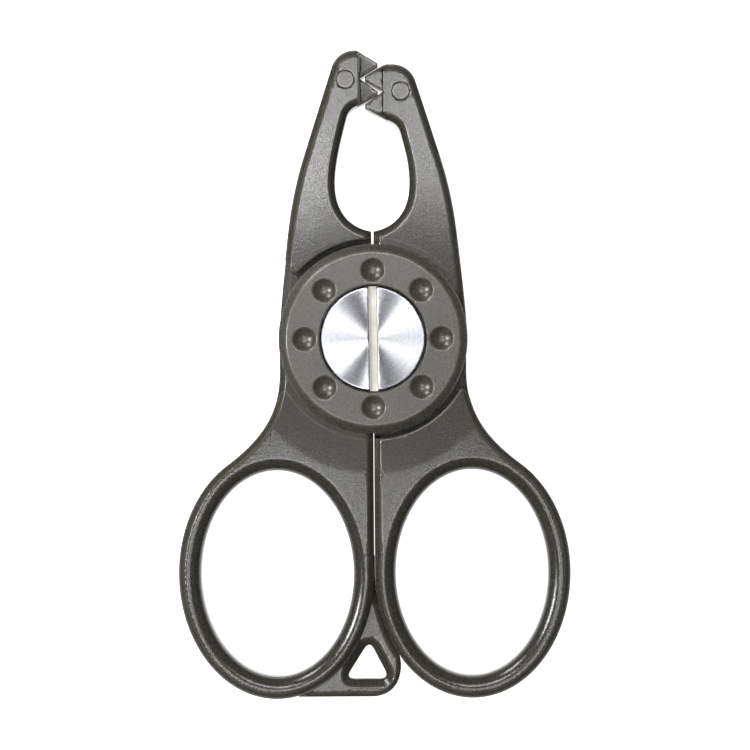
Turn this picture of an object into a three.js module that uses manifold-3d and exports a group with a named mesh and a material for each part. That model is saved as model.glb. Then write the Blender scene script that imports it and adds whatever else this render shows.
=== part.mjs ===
// Thread snips: two crossing moulded levers with finger rings, interlocking toothed jaws and a
// coin-slotted pivot screw. Millimetres, +Z up out of the front face, +Y to the jaw tips.
// The pivot axis is Z through the origin and z = 0 is the rear cap's resting face.
import * as THREE from 'three';
import { mergeVertices } from 'three/addons/utils/BufferGeometryUtils.js';
import Module from 'manifold-3d';

const wasm = await Module();
wasm.setup();

// ---------------------------------------------------------------- driving dimensions
// levers
const LEVER_THICK = 8.0;
const EDGE_BEVEL = 1.2; // width seen from the front
const EDGE_BEVEL_DEPTH = 0.9;
const FLAT_REACH = 25.0; // the faces are parallel this far from the pivot, then taper
const TAPER_LAP = 0.3;
const JAW_TIP_THICK = 5.5;
const RING_END_THICK = 5.7;

// hub and caps
const HUB_R = 17.5;
const HUB_SPLIT = 0.3; // between the two half-thick hub plates
const CAP_THICK = 1.85;
const CAP_SEAT = 0.15;
const CAP_BEVEL = 1.5;
const CAP_BEVEL_DEPTH = 1.0;
const STEP_GAP = 0.95; // hub edge to the curved step of the other lever
const JAW_STEP_END = 139.5; // degrees from +X, rear lever's jaw
const HANDLE_STEP_END = 29.0; // degrees below +X, rear lever's handle

// dimples in the caps
const DIMPLE_COUNT = 8;
const DIMPLE_R = 2.2;
const DIMPLE_DEPTH = 0.9;
const DIMPLE_INSET = 0.25; // nearer the screw than the middle of the cap's flat face

// jaws
const JAW_REACH = 53.8; // pivot to the rear lever's jaw tip
const JAW_STAGGER = 2.65; // the front lever's jaw is this much shorter
const JAW_GAP = 0.44;
const JAW_LAND = 1.5; // height of the two jaw roots that face each other
const JAW_WAIST = [12.67, 34.0]; // where the straight outer edge starts
const JAW_LEAN = 0.318; // run over rise of that edge
const JAW_TIP_R = 4.4;
const LOOP_HALF_WIDTH = 6.95;
const LOOP_WIDEST_Y = 29.0;
const LOOP_CORNER_X = 4.75;
const LOOP_CORNER_DROP = 2.4;

// tooth plates, drops measured down from the jaw tip
const SEAM_X = 2.6;
const SEAM_GAP = 0.2;
const TOOTH_TIP_X = 1.2; // beyond the centre line
const TOOTH_TIP_HALF = 0.38;
const TOOTH_DROPS = [2.7, 7.95]; // the two tooth tips
const NOTCH_DROP = 5.15;
const NOTCH_DEPTH_X = 0.4; // the notch stops this far outside the seam
const PLATE_DROP = 10.35;
const PLATE_OVERLAP = 1.0; // each plate passes the middle plane by this much
const TANG_THICK = 2.0;
const TANG_RISE = 0.8; // tang centre to the middle plane
const TANG_MARGIN = 0.7; // tang material round the pin
const TANG_CLEARANCE = 0.25;
const TOOTH_PIN_R = 1.6;
const TOOTH_PIN_FIT = 0.12;
const TOOTH_PIN_SINK = 0.03;

// handles, finger rings and lanyard tab
const HANDLE_GAP = 0.24;
const RING_RX = 18.17;
const RING_RY = 23.38;
const RING_BAND = 3.97; // at the sides
const RING_BAND_ENDS = 4.1; // at the top and bottom
const RING_HOLE_SHIFT = 0.12; // the hole is this much nearer the centre line
const RING_DROP = 43.63;
const NECK_START_DROP = 5.0;
const NECK_PULL_DROP = 13.0;
const NECK_JOIN = 60.0; // degrees round the ring where the neck runs into it
const NECK_JOIN_PULL = 9.0;
const TAB_THICK = 3.2;
const TAB_BEVEL = 0.9;
const TAB_BEVEL_DEPTH = 0.6;
const TAB_CLEARANCE = 0.25;
const TAB_TOP_RISE = 19.0; // rises are measured up from the bottom of the rings
const TAB_BOTTOM_RISE = 0.25;
const TAB_CORNER_RISE = 8.0; // where the tab leaves the other ring
const TAB_CORNER_R = 5.0;
const TAB_HOLE_TOP_RISE = 10.7;
const TAB_HOLE_LOW_RISE = 3.5;
const TAB_HOLE_SHIFT = 1.05; // top corner, from midway between the rings
const TAB_HOLE_WALLS = [3.05, 1.6]; // low corners, from the own ring and from the tab's corner
const TAB_HOLE_ROUND = 1.9;

// pivot hardware
const SCREW_HEAD_R = 9.7;
const SCREW_HEAD_THICK = 1.5;
const HEAD_CHAMFER = 0.45;
const HEAD_CLEARANCE = 0.25;
const SLOT_WIDTH = 1.65;
const SLOT_DEPTH = 0.9;
const SHANK_R = 2.4;
const SHANK_TIP_Z = 3.6;
const THREAD_CLEARANCE = 0.15;
const BARREL_R = 4.6;
const KEY_LAND = 0.8; // the flatted length, keyed in the rear lever, is this much larger
const KEY_FLAT_LAND = 0.1;
const BARREL_FIT = 0.15;
const BUSH_WALL = 1.5;
const BUSH_FLANGE_THICK = 0.6;
const WASHER_THICK = 0.5;
const WASHER_GAP = 0.2;
const HUB_WASHER_R = 12.8;
const WAVE_THICK = 0.25;
const WAVE_HEIGHT = 0.12;
const WAVE_COUNT = 3;
const O_RING_SECTION_R = 0.42;
const O_RING_CLEARANCE = 0.08;
const PEG_COUNT = 4;
const PEG_R = 1.1;
const PEG_LENGTH = 1.5;
const PEG_FIT = 0.15;

// ---------------------------------------------------------------- derived places
const CAP_PROUD = CAP_THICK + CAP_SEAT;
const REAR_FACE_Z = CAP_PROUD;
const MID_Z = REAR_FACE_Z + LEVER_THICK / 2;
const FRONT_FACE_Z = REAR_FACE_Z + LEVER_THICK;
const TOP_Z = FRONT_FACE_Z + CAP_PROUD;
const STEP_R = HUB_R + STEP_GAP;
const RING_X = HANDLE_GAP / 2 + RING_RX;
const CAP_BORE_R = SCREW_HEAD_R + HEAD_CLEARANCE;
const DIMPLE_CIRCLE_R = (CAP_BORE_R + HUB_R - CAP_BEVEL) / 2 - DIMPLE_INSET;
const KEY_R = BARREL_R + KEY_LAND;
const SOCKET_R = SCREW_HEAD_R - 0.7; // counterbores under the two heads
const BUSH_OUT_R = BARREL_R + BARREL_FIT + BUSH_WALL;
const HEAD_UNDER_Z = TOP_Z - SCREW_HEAD_THICK;
const WASHER_TOP_Z = HEAD_UNDER_Z - WASHER_GAP;
const WASHER_LOW_Z = WASHER_TOP_Z - WASHER_THICK;
const BARREL_TOP_Z = WASHER_LOW_Z - WASHER_GAP;
const WAVE_MID_Z = WASHER_LOW_Z - 0.1 - WAVE_HEIGHT - WAVE_THICK / 2;
const FLANGE_TOP_Z = WAVE_MID_Z - WAVE_HEIGHT - WAVE_THICK / 2 - 0.1;
const FLANGE_LOW_Z = FLANGE_TOP_Z - BUSH_FLANGE_THICK;
const SOCKET_FLOOR_Z = FLANGE_LOW_Z - WASHER_GAP;
const O_RING_R = SHANK_R + 0.15;
const O_RING_Z = BARREL_TOP_Z - O_RING_SECTION_R - 0.35;

function leverOf(jawSide, up, tipY, pinInset, pinDrop) {
  return { jawSide, up, tipY, pin: [SEAM_X + pinInset, tipY - pinDrop] };
}

const REAR = leverOf(-1, -1, JAW_REACH, 2.26, 5.5);
const FRONT = leverOf(1, 1, JAW_REACH - JAW_STAGGER, 2.85, 5.1);

// ---------------------------------------------------------------- facets
const SAME_POINT = 0.01;
const ROUND_SEGMENTS = 36;
const HUB_SEGMENTS = 60;
const RING_SEGMENTS = 18;
const PIN_SEGMENTS = 16;
const DIMPLE_SEGMENTS = 14;
const CURVE_SEGMENTS = 8;

// ---------------------------------------------------------------- materials
function plastic(color, roughness) {
  return new THREE.MeshStandardMaterial({ color, roughness, metalness: 0 });
}

function steel(color, roughness) {
  return new THREE.MeshStandardMaterial({ color, roughness, metalness: 1 });
}

const OLIVE = 0x5f5e58;
const OLIVE_PLATE = 0x62605a;
const PIN_GREY = 0x83827d;
const STEEL = 0xd6d7da;
const WASHER_STEEL = 0xb4b6b9;
const ACETAL = 0xe4e1d6;
const BRONZE = 0xb08a52;
const RUBBER = 0x1d1d1c;

// ---------------------------------------------------------------- solids
function solid(geometry) {
  const bare = geometry.index ? geometry : geometry.clone();
  bare.deleteAttribute('normal');
  bare.deleteAttribute('uv');
  const merged = mergeVertices(bare, 1e-4);
  return new wasm.Manifold(new wasm.Mesh({
    numProp: 3,
    vertProperties: Float32Array.from(merged.attributes.position.array),
    triVerts: Uint32Array.from(merged.index.array),
  }));
}

function geometryOf(body) {
  const mesh = body.getMesh();
  const flat = new THREE.BufferGeometry();
  flat.setAttribute('position', new THREE.BufferAttribute(Float32Array.from(mesh.vertProperties), 3));
  flat.setIndex(new THREE.BufferAttribute(Uint32Array.from(mesh.triVerts), 1));
  const shaded = flat.toNonIndexed();
  shaded.computeVertexNormals();
  return shaded;
}

function extruded(shape, lowZ, highZ, bevel = 0, bevelDepth = 0) {
  const geometry = new THREE.ExtrudeGeometry(shape, {
    depth: highZ - lowZ - 2 * bevelDepth,
    bevelEnabled: bevel > 0,
    bevelSize: bevel,
    bevelOffset: -bevel,
    bevelThickness: bevelDepth,
    bevelSegments: 1,
  });
  geometry.translate(0, 0, lowZ + bevelDepth);
  return solid(geometry);
}

// a body of revolution about the pivot axis, from [radius, z] corners
function turned(corners, segments = ROUND_SEGMENTS) {
  const points = corners.map(([r, z]) => new THREE.Vector2(r, z));
  const geometry = new THREE.LatheGeometry(points, segments);
  geometry.rotateX(Math.PI / 2);
  return solid(geometry);
}

function disc(r, lowZ, highZ, segments = ROUND_SEGMENTS) {
  return turned([[0, lowZ], [r, lowZ], [r, highZ], [0, highZ]], segments);
}

function annulus(innerR, outerR, lowZ, highZ, segments = ROUND_SEGMENTS) {
  const corners = [[innerR, lowZ], [outerR, lowZ], [outerR, highZ], [innerR, highZ], [innerR, lowZ]];
  return turned(corners, segments);
}

function block(lowX, highX, lowY, highY, lowZ, highZ) {
  const geometry = new THREE.BoxGeometry(highX - lowX, highY - lowY, highZ - lowZ);
  geometry.translate((lowX + highX) / 2, (lowY + highY) / 2, (lowZ + highZ) / 2);
  return solid(geometry);
}

function polygon(corners) {
  return new THREE.Shape(corners.map(([x, y]) => new THREE.Vector2(x, y)));
}

// an outline as plain corners, on one side or the other, with no doubled corners
function onSide(shape, side, curveSegments = CURVE_SEGMENTS) {
  const drawn = shape.extractPoints(curveSegments);
  const corners = (points) => {
    const flipped = points.map((p) => new THREE.Vector2(p.x * side, p.y));
    const count = flipped.length;
    return flipped.filter((p, i) => p.distanceTo(flipped[(i + 1) % count]) > SAME_POINT);
  };
  const moved = new THREE.Shape(corners(drawn.shape));
  moved.holes = drawn.holes.map((hole) => new THREE.Path(corners(hole)));
  return moved;
}

// z from a lever's own hub side, so that one recipe serves both levers
function zSpan(lever, a, b) {
  const ends = [MID_Z + lever.up * a, MID_Z + lever.up * b];
  return [Math.min(...ends), Math.max(...ends)];
}

// ---------------------------------------------------------------- taper of the arms
function taperAt(y) {
  const half = LEVER_THICK / 2;
  if (y > FLAT_REACH) {
    const loss = half - JAW_TIP_THICK / 2;
    return 1 - (loss / half) * (y - FLAT_REACH) / (JAW_REACH - FLAT_REACH);
  }
  if (y < -FLAT_REACH) {
    const loss = half - RING_END_THICK / 2;
    return 1 - (loss / half) * (-y - FLAT_REACH) / (RING_DROP + RING_RY - FLAT_REACH);
  }
  return 1;
}

function warped(body) {
  const mesh = body.getMesh();
  const vertProperties = Float32Array.from(mesh.vertProperties);
  for (let i = 0; i < vertProperties.length; i += 3) {
    vertProperties[i + 2] = MID_Z + (vertProperties[i + 2] - MID_Z) * taperAt(vertProperties[i + 1]);
  }
  return new wasm.Manifold(new wasm.Mesh({ numProp: 3, vertProperties, triVerts: mesh.triVerts }));
}

// cut into lengths where the taper starts, so that every flat face stays flat; the middle
// length laps over the ends to join them
function tapered(body) {
  const far = 2 * (RING_DROP + RING_RY);
  const length = (lowY, highY) => body.intersect(block(-far, far, lowY, highY, -far, far));
  const middle = length(-FLAT_REACH - TAPER_LAP, FLAT_REACH + TAPER_LAP);
  return middle.add(warped(length(FLAT_REACH, far))).add(warped(length(-far, -FLAT_REACH)));
}

// ---------------------------------------------------------------- lever outlines, drawn at +X
function jawOutline(lever) {
  const tipY = lever.tipY;
  const lowY = tipY - PLATE_DROP;
  const rootY = STEP_R + JAW_LAND;
  const short = (JAW_REACH - tipY) * 0.26;
  const corner = [LOOP_CORNER_X + short, lowY - LOOP_CORNER_DROP - short / 2];
  const [waistX, waistY] = JAW_WAIST;
  const slant = Math.hypot(1, JAW_LEAN);
  const tipCentreY = tipY - JAW_TIP_R;
  const tipCentreX = waistX - JAW_LEAN * (tipCentreY - waistY) - JAW_TIP_R * slant;
  const inside = SEAM_X - 2; // the outline runs past the seam and is cut there
  const shoulder = [HUB_R - 1.87, HUB_R + 2.65];

  const shape = new THREE.Shape();
  shape.moveTo(JAW_GAP / 2, -HUB_R / 4);
  shape.lineTo(JAW_GAP / 2, rootY);
  shape.bezierCurveTo(
    JAW_GAP / 2 + 3.4, rootY + 0.6,
    LOOP_HALF_WIDTH, LOOP_WIDEST_Y - 6,
    LOOP_HALF_WIDTH, LOOP_WIDEST_Y,
  );
  shape.bezierCurveTo(
    LOOP_HALF_WIDTH, LOOP_WIDEST_Y + 4,
    corner[0] + 0.7, corner[1] - 2.8,
    corner[0], corner[1],
  );
  shape.quadraticCurveTo(corner[0] - 0.4, lowY - 0.6, SEAM_X, lowY);
  shape.lineTo(inside, lowY);
  shape.lineTo(inside, tipY);
  shape.lineTo(tipCentreX, tipY);
  shape.absarc(tipCentreX, tipCentreY, JAW_TIP_R, Math.PI / 2, Math.atan2(JAW_LEAN, 1), true);
  shape.lineTo(waistX, waistY);
  shape.bezierCurveTo(
    waistX + JAW_LEAN * 4.6, waistY - 4.6,
    shoulder[0] - 0.54, shoulder[1] + 4.5,
    shoulder[0], shoulder[1],
  );
  shape.quadraticCurveTo(HUB_R, 4.5, HUB_R, 0);
  shape.lineTo(HUB_R - 2, -HUB_R / 4);
  return shape;
}

function handleOutline() {
  const join = THREE.MathUtils.degToRad(NECK_JOIN);
  const joinX = RING_X + RING_RX * Math.cos(join);
  const joinY = -RING_DROP + RING_RY * Math.sin(join);
  const along = new THREE.Vector2(RING_RX * Math.sin(join), -RING_RY * Math.cos(join)).normalize();

  const shape = new THREE.Shape();
  shape.moveTo(HANDLE_GAP / 2, 0);
  shape.lineTo(HUB_R - 0.1, 0);
  shape.lineTo(HUB_R - 0.1, -NECK_START_DROP);
  shape.bezierCurveTo(
    HUB_R - 0.35, -NECK_PULL_DROP,
    joinX - along.x * NECK_JOIN_PULL, joinY - along.y * NECK_JOIN_PULL,
    joinX, joinY,
  );
  shape.absellipse(RING_X, -RING_DROP, RING_RX, RING_RY, join, Math.PI, true);
  const hole = new THREE.Path();
  const holeRx = RING_RX - RING_BAND;
  const holeRy = RING_RY - RING_BAND_ENDS;
  const holeX = RING_X - RING_HOLE_SHIFT;
  hole.absellipse(holeX, -RING_DROP, holeRx, holeRy, 0, 2 * Math.PI, false);
  shape.holes.push(hole);
  return shape;
}

// a corner list with every corner rounded by a quadratic curve
function roundedPath(corners, round) {
  const path = new THREE.Path();
  const points = corners.map(([x, y]) => new THREE.Vector2(x, y));
  points.forEach((corner, i) => {
    const before = points[(i + points.length - 1) % points.length];
    const after = points[(i + 1) % points.length];
    const enter = corner.clone().add(before.clone().sub(corner).setLength(round));
    const leave = corner.clone().add(after.clone().sub(corner).setLength(round));
    if (i === 0) path.moveTo(enter.x, enter.y);
    else path.lineTo(enter.x, enter.y);
    path.quadraticCurveTo(corner.x, corner.y, leave.x, leave.y);
  });
  return path;
}

// the tab fills the notch between the rings: left edge inside its own ring's band, right edge
// along the other ring with a clearance
function tabOutline() {
  const bandRx = RING_RX - RING_BAND / 2;
  const bandRy = RING_RY - RING_BAND / 2;
  const clearRx = RING_RX + TAB_CLEARANCE;
  const clearRy = RING_RY + TAB_CLEARANCE;
  const ringLowY = -RING_DROP - RING_RY;
  const bottomY = ringLowY + TAB_BOTTOM_RISE;
  const cornerY = ringLowY + TAB_CORNER_RISE;
  const topY = ringLowY + TAB_TOP_RISE;
  const angleAt = (y, ry) => Math.asin((y + RING_DROP) / ry);
  const ringEdge = (y) => RING_X - RING_RX * Math.cos(angleAt(y, RING_RY));
  const cornerX = RING_X - clearRx * Math.cos(angleAt(cornerY, clearRy));
  const topOther = Math.PI - angleAt(topY, clearRy);
  const lowOther = Math.PI - angleAt(cornerY, clearRy);

  const shape = new THREE.Shape();
  shape.absellipse(RING_X, -RING_DROP, clearRx, clearRy, topOther, lowOther, false);
  shape.bezierCurveTo(
    cornerX + 0.9, cornerY - 2.3,
    cornerX + 0.2, bottomY,
    cornerX - TAB_CORNER_R, bottomY,
  );
  shape.lineTo(-RING_X + 4, bottomY);
  const topOwn = angleAt(topY, bandRy);
  shape.absellipse(-RING_X, -RING_DROP, bandRx, bandRy, -Math.PI * 0.43, topOwn, false);
  const holeLowY = ringLowY + TAB_HOLE_LOW_RISE;
  shape.holes.push(roundedPath([
    [-TAB_HOLE_SHIFT, ringLowY + TAB_HOLE_TOP_RISE],
    [-ringEdge(holeLowY) + TAB_HOLE_WALLS[0], holeLowY],
    [cornerX - TAB_HOLE_WALLS[1], holeLowY],
  ], TAB_HOLE_ROUND));
  return shape;
}

function toothOutline(lever) {
  const y = (drop) => lever.tipY - drop;
  const root = SEAM_X - SEAM_GAP / 2;
  const [first, second] = TOOTH_DROPS;
  return polygon([
    [root, y(0)],
    [-TOOTH_TIP_X, y(first - TOOTH_TIP_HALF)],
    [-TOOTH_TIP_X, y(first + TOOTH_TIP_HALF)],
    [SEAM_X - NOTCH_DEPTH_X, y(NOTCH_DROP)],
    [-TOOTH_TIP_X, y(second - TOOTH_TIP_HALF)],
    [-TOOTH_TIP_X, y(second + TOOTH_TIP_HALF)],
    [root, y(PLATE_DROP)],
  ]);
}

// a round-ended tongue from the seam round the pin
function tangOutline(lever, margin, startX) {
  const [pinX, pinY] = lever.pin;
  const r = TOOTH_PIN_R + margin;
  const shape = new THREE.Shape();
  shape.moveTo(startX, pinY - r);
  shape.lineTo(pinX, pinY - r);
  shape.absarc(pinX, pinY, r, -Math.PI / 2, Math.PI / 2, false);
  shape.lineTo(startX, pinY + r);
  return shape;
}

function pinSolid(lever, r, halfLength) {
  const pin = disc(r, MID_Z - halfLength, MID_Z + halfLength, PIN_SEGMENTS);
  return pin.translate([lever.jawSide * lever.pin[0], lever.pin[1], 0]);
}

// ---------------------------------------------------------------- levers
// sectors where the other lever's hub and arms pass, cut from the half opposite the hub
function stepCutter(lever) {
  const reach = 2 * HUB_R;
  const at = (degrees) => {
    const angle = THREE.MathUtils.degToRad(degrees);
    return [-lever.jawSide * reach * Math.cos(angle), reach * Math.sin(angle)];
  };
  const jawWedge = [[0, 0], at(JAW_STEP_END), at(165), at(190)];
  const handleWedge = [[0, 0], at(-HANDLE_STEP_END), at(-8), at(10)];
  const [lowZ, highZ] = zSpan(lever, HUB_SPLIT / 2, -LEVER_THICK);
  let cutter = disc(STEP_R, lowZ, highZ, HUB_SEGMENTS);
  for (const wedge of [jawWedge, handleWedge]) {
    cutter = cutter.add(extruded(polygon(wedge), lowZ, highZ));
  }
  return cutter;
}

function capPegs(lever, r, depth) {
  const [lowZ, highZ] = zSpan(lever, LEVER_THICK / 2 - depth, LEVER_THICK / 2 + CAP_PROUD / 2);
  const pegs = [];
  for (let i = 0; i < PEG_COUNT; i += 1) {
    const angle = (i + 0.5) * 2 * Math.PI / PEG_COUNT + Math.PI / DIMPLE_COUNT;
    const place = [DIMPLE_CIRCLE_R * Math.cos(angle), DIMPLE_CIRCLE_R * Math.sin(angle), 0];
    pegs.push(disc(r, lowZ, highZ, PIN_SEGMENTS).translate(place));
  }
  return pegs;
}

function leverSolid(lever) {
  const jaw = onSide(jawOutline(lever), lever.jawSide);
  const handle = onSide(handleOutline(), -lever.jawSide, RING_SEGMENTS);
  let arms = extruded(jaw, REAR_FACE_Z, FRONT_FACE_Z, EDGE_BEVEL, EDGE_BEVEL_DEPTH);
  arms = arms.add(extruded(handle, REAR_FACE_Z, FRONT_FACE_Z, EDGE_BEVEL, EDGE_BEVEL_DEPTH));
  let body = tapered(arms).subtract(stepCutter(lever));
  const [hubLow, hubHigh] = zSpan(lever, HUB_SPLIT / 2, LEVER_THICK / 2);
  body = body.add(disc(HUB_R, hubLow, hubHigh, HUB_SEGMENTS));

  const seam = SEAM_X + SEAM_GAP / 2;
  const plateLowY = lever.tipY - PLATE_DROP;
  body = body.subtract(block(-seam, seam, plateLowY - 1, lever.tipY + 1, 0, TOP_Z));
  const slot = onSide(tangOutline(lever, TANG_MARGIN + TANG_CLEARANCE, 0), lever.jawSide);
  const tangHalf = TANG_THICK / 2 + TANG_CLEARANCE;
  body = body.subtract(extruded(slot, ...zSpan(lever, TANG_RISE - tangHalf, TANG_RISE + tangHalf)));
  body = body.subtract(pinSolid(lever, TOOTH_PIN_R + TOOTH_PIN_FIT, LEVER_THICK));

  const recess = zSpan(lever, 0, (HUB_SPLIT + WASHER_THICK) / 2 - 0.05);
  body = body.subtract(disc(HUB_WASHER_R + 0.4, ...recess));
  for (const peg of capPegs(lever, PEG_R + PEG_FIT, PEG_LENGTH + PEG_FIT)) {
    body = body.subtract(peg);
  }
  return body;
}

// the rear hub holds the nut's flatted barrel and the rear washer
function rearLever() {
  const bore = barrelSection(BARREL_FIT, 0, MID_Z + LEVER_THICK);
  const socket = disc(SOCKET_R, 0, REAR_FACE_Z + WASHER_THICK);
  return leverSolid(REAR).subtract(bore).subtract(socket);
}

// the front hub turns on the flanged bush and carries the lanyard tab
function frontLever() {
  const bore = disc(BUSH_OUT_R + BARREL_FIT, 0, TOP_Z);
  const socket = disc(SOCKET_R, SOCKET_FLOOR_Z, TOP_Z);
  const halfTab = TAB_THICK / 2;
  const outline = onSide(tabOutline(), 1);
  const tab = extruded(outline, MID_Z - halfTab, MID_Z + halfTab, TAB_BEVEL, TAB_BEVEL_DEPTH);
  return leverSolid(FRONT).add(tab).subtract(bore).subtract(socket);
}

function toothPlate(lever) {
  const tooth = onSide(toothOutline(lever), lever.jawSide);
  const plate = warped(extruded(tooth, ...zSpan(lever, -PLATE_OVERLAP, LEVER_THICK / 2)));
  const tang = onSide(tangOutline(lever, TANG_MARGIN, SEAM_X - NOTCH_DEPTH_X), lever.jawSide);
  const rise = zSpan(lever, TANG_RISE - TANG_THICK / 2, TANG_RISE + TANG_THICK / 2);
  const hole = pinSolid(lever, TOOTH_PIN_R + TOOTH_PIN_FIT, LEVER_THICK);
  return plate.add(extruded(tang, ...rise)).subtract(hole);
}

function toothPin(lever) {
  const halfLength = (LEVER_THICK / 2) * taperAt(lever.pin[1]) - TOOTH_PIN_SINK;
  return pinSolid(lever, TOOTH_PIN_R, halfLength);
}

// ---------------------------------------------------------------- caps
function cap(lever) {
  const base = LEVER_THICK / 2 + CAP_SEAT;
  const face = base + CAP_THICK;
  const corners = [
    [CAP_BORE_R, base],
    [HUB_R, base],
    [HUB_R, face - CAP_BEVEL_DEPTH],
    [HUB_R - CAP_BEVEL, face],
    [CAP_BORE_R, face],
    [CAP_BORE_R, base],
  ];
  let body = turned(corners, HUB_SEGMENTS);
  const sphereR = (DIMPLE_R ** 2 + DIMPLE_DEPTH ** 2) / (2 * DIMPLE_DEPTH);
  for (let i = 0; i < DIMPLE_COUNT; i += 1) {
    const angle = Math.PI / 2 + i * 2 * Math.PI / DIMPLE_COUNT;
    const ball = new THREE.SphereGeometry(sphereR, DIMPLE_SEGMENTS, DIMPLE_SEGMENTS);
    ball.rotateX(Math.PI / 2);
    ball.translate(
      DIMPLE_CIRCLE_R * Math.cos(angle),
      DIMPLE_CIRCLE_R * Math.sin(angle),
      face + sphereR - DIMPLE_DEPTH,
    );
    body = body.subtract(solid(ball));
  }
  // drawn for the front, then turned over for the rear
  const placed = lever.up > 0 ? body : body.rotate([0, 180, 0]);
  let whole = placed.translate([0, 0, MID_Z]);
  for (const peg of capPegs(lever, PEG_R, PEG_LENGTH)) whole = whole.add(peg);
  return whole;
}

// ---------------------------------------------------------------- pivot hardware
function pivotScrew() {
  const neckR = O_RING_R - O_RING_SECTION_R - O_RING_CLEARANCE;
  const neckLow = O_RING_Z - O_RING_SECTION_R - O_RING_CLEARANCE;
  const neckHigh = O_RING_Z + O_RING_SECTION_R + O_RING_CLEARANCE;
  const head = turned([
    [0, SHANK_TIP_Z],
    [SHANK_R - 0.5, SHANK_TIP_Z],
    [SHANK_R, SHANK_TIP_Z + 0.5],
    [SHANK_R, neckLow],
    [neckR, neckLow],
    [neckR, neckHigh],
    [SHANK_R, neckHigh],
    [SHANK_R, HEAD_UNDER_Z],
    [SCREW_HEAD_R, HEAD_UNDER_Z],
    [SCREW_HEAD_R, TOP_Z - HEAD_CHAMFER],
    [SCREW_HEAD_R - HEAD_CHAMFER, TOP_Z],
    [0, TOP_Z],
  ], HUB_SEGMENTS);
  const half = SLOT_WIDTH / 2;
  const reach = SCREW_HEAD_R + 1;
  return head.subtract(block(-half, half, -reach, reach, TOP_Z - SLOT_DEPTH, TOP_Z + 1));
}

function barrelSection(extra, lowZ, highZ) {
  const flat = BARREL_R + KEY_FLAT_LAND + extra;
  const r = KEY_R + extra;
  return disc(r, lowZ, highZ).intersect(block(-flat, flat, -r - 1, r + 1, lowZ - 1, highZ + 1));
}

function pivotNut() {
  const headTop = SCREW_HEAD_THICK;
  const boreLow = SHANK_TIP_Z - 0.6;
  const gland = O_RING_R + O_RING_SECTION_R + O_RING_CLEARANCE;
  const glandLow = O_RING_Z - O_RING_SECTION_R - O_RING_CLEARANCE;
  const head = turned([
    [0, 0],
    [SCREW_HEAD_R - HEAD_CHAMFER, 0],
    [SCREW_HEAD_R, HEAD_CHAMFER],
    [SCREW_HEAD_R, headTop],
    [0, headTop],
  ], HUB_SEGMENTS);
  const keyed = barrelSection(0, headTop - 0.2, MID_Z);
  const round = disc(BARREL_R, headTop - 0.2, BARREL_TOP_Z);
  const bore = disc(SHANK_R + THREAD_CLEARANCE, boreLow, TOP_Z);
  return head.add(keyed).add(round).subtract(bore).subtract(disc(gland, glandLow, TOP_Z));
}

function pivotBush() {
  const inner = BARREL_R + BARREL_FIT;
  const flangeR = SOCKET_R - 0.3;
  const lowZ = MID_Z + HUB_SPLIT / 2 + 0.2;
  return turned([
    [inner, lowZ],
    [BUSH_OUT_R, lowZ],
    [BUSH_OUT_R, FLANGE_LOW_Z],
    [flangeR, FLANGE_LOW_Z],
    [flangeR, FLANGE_TOP_Z],
    [inner, FLANGE_TOP_Z],
    [inner, lowZ],
  ]);
}

function waveWasher() {
  const innerR = BARREL_R + 0.4;
  const outerR = SOCKET_R - 0.6;
  const half = WAVE_THICK / 2;
  const points = [[innerR, -half], [outerR, -half], [outerR, half], [innerR, half], [innerR, -half]];
  const ring = new THREE.LatheGeometry(points.map(([r, z]) => new THREE.Vector2(r, z)), ROUND_SEGMENTS);
  ring.rotateX(Math.PI / 2);
  const position = ring.attributes.position;
  for (let i = 0; i < position.count; i += 1) {
    const angle = Math.atan2(position.getY(i), position.getX(i));
    const lift = WAVE_HEIGHT * Math.sin(WAVE_COUNT * angle);
    position.setZ(i, WAVE_MID_Z + position.getZ(i) + lift);
  }
  return solid(ring);
}

function oRing() {
  const corners = [];
  const steps = 8;
  for (let i = 0; i <= steps; i += 1) {
    const angle = -Math.PI / 2 + (i % steps) * 2 * Math.PI / steps;
    const r = O_RING_R + O_RING_SECTION_R * Math.cos(angle);
    corners.push([r, O_RING_Z + O_RING_SECTION_R * Math.sin(angle)]);
  }
  return turned(corners, ROUND_SEGMENTS);
}

// ---------------------------------------------------------------- assembly
const thread_snips = new THREE.Group();
const halfWasher = WASHER_THICK / 2;
const washerInnerR = KEY_R + 0.2;
const pieces = [
  ['rear_lever', rearLever(), plastic(OLIVE, 0.55)],
  ['front_lever', frontLever(), plastic(OLIVE, 0.55)],
  ['left_tooth_plate', toothPlate(REAR), plastic(OLIVE_PLATE, 0.5)],
  ['right_tooth_plate', toothPlate(FRONT), plastic(OLIVE_PLATE, 0.5)],
  ['left_tooth_pin', toothPin(REAR), plastic(PIN_GREY, 0.5)],
  ['right_tooth_pin', toothPin(FRONT), plastic(PIN_GREY, 0.5)],
  ['front_cap', cap(FRONT), plastic(OLIVE, 0.5)],
  ['rear_cap', cap(REAR), plastic(OLIVE, 0.5)],
  ['pivot_screw', pivotScrew(), steel(STEEL, 0.28)],
  ['pivot_nut', pivotNut(), steel(STEEL, 0.28)],
  ['pivot_bush', pivotBush(), steel(BRONZE, 0.4)],
  ['hub_washer', annulus(washerInnerR, HUB_WASHER_R, MID_Z - halfWasher, MID_Z + halfWasher),
    plastic(ACETAL, 0.4)],
  ['front_washer', annulus(SHANK_R + 0.3, SOCKET_R - 0.3, WASHER_LOW_Z, WASHER_TOP_Z),
    steel(WASHER_STEEL, 0.35)],
  ['rear_washer', annulus(washerInnerR, SOCKET_R - 0.3, SCREW_HEAD_THICK + WASHER_GAP,
    SCREW_HEAD_THICK + WASHER_GAP + WASHER_THICK), steel(WASHER_STEEL, 0.35)],
  ['wave_washer', waveWasher(), steel(WASHER_STEEL, 0.3)],
  ['screw_o_ring', oRing(), plastic(RUBBER, 0.8)],
];
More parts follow.
